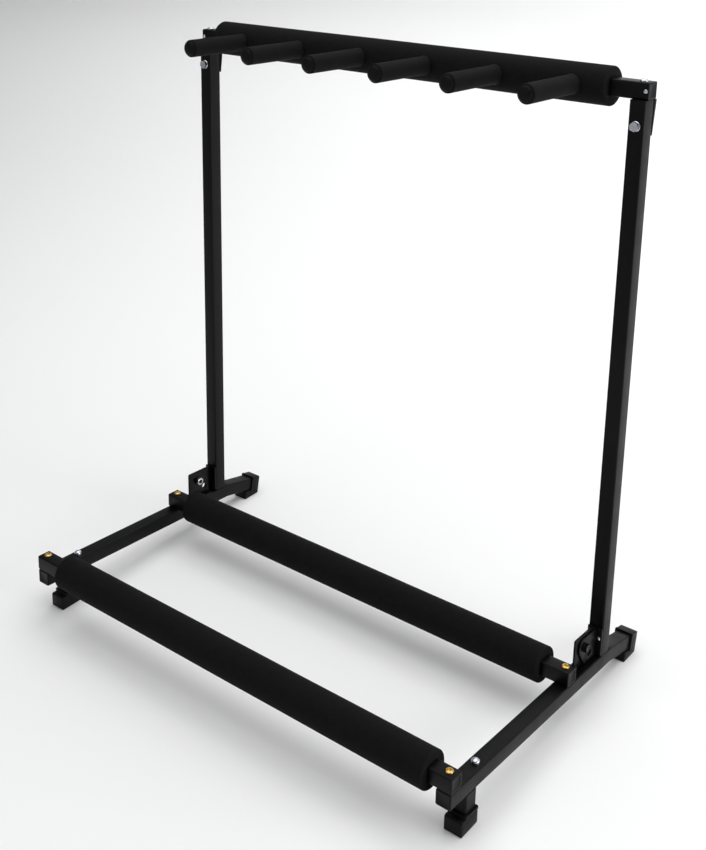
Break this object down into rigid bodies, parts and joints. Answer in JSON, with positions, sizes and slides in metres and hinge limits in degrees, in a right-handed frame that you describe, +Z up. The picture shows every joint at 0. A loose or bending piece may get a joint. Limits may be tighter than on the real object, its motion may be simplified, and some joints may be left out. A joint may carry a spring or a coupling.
{
  "type": "guitar rack",
  "caption": "Folding guitar rack: square-tube base with two foam-padded bars on four feet, and a hinged back frame whose padded pegs hold the necks",
  "frame": {"origin": "On the floor under the middle of the rack: the middle of its width and of its depth.", "axes": "+X runs to the right along the crossbars, +Y runs from the front bar to the back, +Z is up. The guitars go in from the front, -Y."},
  "size_m": [0.7038, 0.4354, 0.777],
  "materials": {
    "black_coat": "satin",
    "black_plastic": "satin",
    "foam": "matte",
    "bright_zinc": "polished",
    "yellow_zinc": "polished",
    "black_steel": "gloss"
  },
  "bodies": {
    "base": {"left_rail": "black_coat", "right_rail": "black_coat", "rail_plugs": "black_plastic", "left_front_leg": "black_coat", "right_front_leg": "black_coat", "left_front_foot": "black_plastic", "right_front_foot": "black_plastic", "left_rear_foot": "black_plastic", "right_rear_foot": "black_plastic", "leg_bolts": "bright_zinc", "leg_nuts": "bright_zinc", "left_rail_ear": "black_coat", "right_rail_ear": "black_coat", "hinge_bolts": "black_steel", "hinge_washers": "black_steel", "hinge_nuts": "bright_zinc", "front_crossbar": "black_coat", "rear_crossbar": "black_coat", "front_bar_plugs": "black_plastic", "rear_bar_plugs": "black_plastic", "front_bar_screws": "yellow_zinc", "rear_bar_screws": "yellow_zinc", "front_foam": "foam", "rear_foam": "foam"},
    "back_frame": {"left_upright": "black_coat", "right_upright": "black_coat", "left_heel_plug": "black_plastic", "right_heel_plug": "black_plastic", "left_upright_ear": "black_coat", "right_upright_ear": "black_coat", "ear_rivets": "bright_zinc", "upright_inserts": "black_plastic", "left_top_bracket": "black_coat", "right_top_bracket": "black_coat", "bracket_bolts": "bright_zinc", "bracket_washers": "bright_zinc", "bracket_nuts": "bright_zinc", "top_crossbar": "black_coat", "top_bar_plugs": "black_plastic", "top_bar_screws": "bright_zinc", "top_bar_rivets": "bright_zinc", "top_foam": "foam", "peg_rod_1": "black_coat", "peg_rod_2": "black_coat", "peg_rod_3": "black_coat", "peg_rod_4": "black_coat", "peg_rod_5": "black_coat", "peg_rod_6": "black_coat", "peg_foam_1": "foam", "peg_foam_2": "foam", "peg_foam_3": "foam", "peg_foam_4": "foam", "peg_foam_5": "foam", "peg_foam_6": "foam", "peg_cap_1": "black_plastic", "peg_cap_2": "black_plastic", "peg_cap_3": "black_plastic", "peg_cap_4": "black_plastic", "peg_cap_5": "black_plastic", "peg_cap_6": "black_plastic"}
  },
  "joints": [
    {"name": "back_fold", "type": "hinge", "parent": "base", "child": "back_frame", "pos_m": [0, 0.09058, 0.07509], "axis": [1, 0, 0], "range_deg": [0, 90]}
  ]
}
